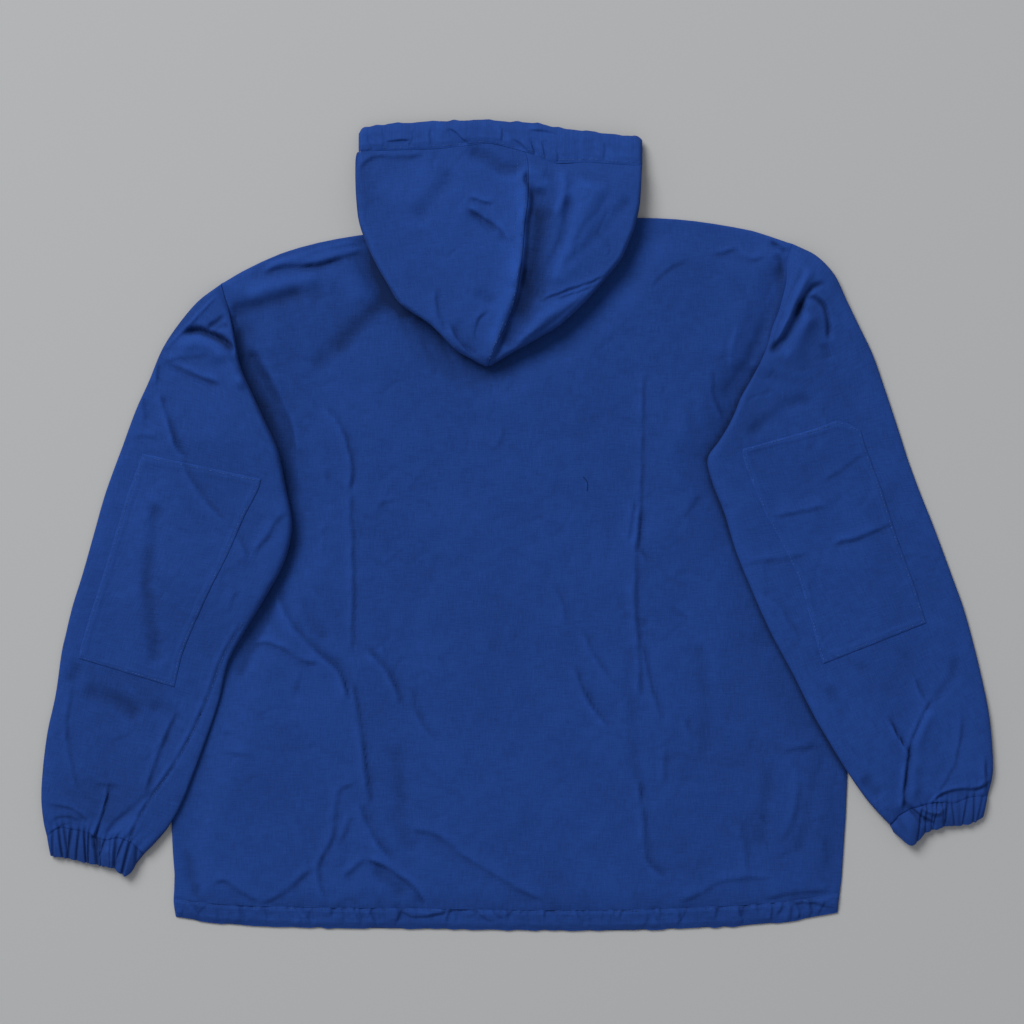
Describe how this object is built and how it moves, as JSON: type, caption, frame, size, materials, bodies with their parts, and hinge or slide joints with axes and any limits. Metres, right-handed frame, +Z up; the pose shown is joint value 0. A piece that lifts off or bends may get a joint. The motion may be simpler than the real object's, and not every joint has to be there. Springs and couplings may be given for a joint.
{
  "type": "anorak pullover",
  "caption": "Hooded canvas anorak pullover laid out flat, back side up, with the hood and both sleeves folded down and gathered cuffs.",
  "frame": {"origin": "on the surface the garment lies on, under the middle of its outline", "axes": "+X to the wearer's right, across the garment; +Y from the hem to the head; +Z up, away from the surface, out of the back panel"},
  "size_m": [0.9503, 0.8091, 0.0257],
  "materials": {
    "canvas": "matt royal-blue cotton canvas",
    "patch_canvas": "matt royal-blue cotton canvas, sewn on",
    "gathered_canvas": "matt royal-blue cotton canvas, gathered on elastic"
  },
  "bodies": {
    "root": {"front": "canvas", "back": "canvas", "sleeve_left": "canvas", "sleeve_right": "canvas", "elbow_patch_left": "patch_canvas", "elbow_patch_right": "patch_canvas", "cuff_left": "gathered_canvas", "cuff_right": "gathered_canvas", "hood_left": "canvas", "hood_right": "canvas", "hood_casing": "canvas", "hood_under": "canvas"}
  },
  "joints": []
}
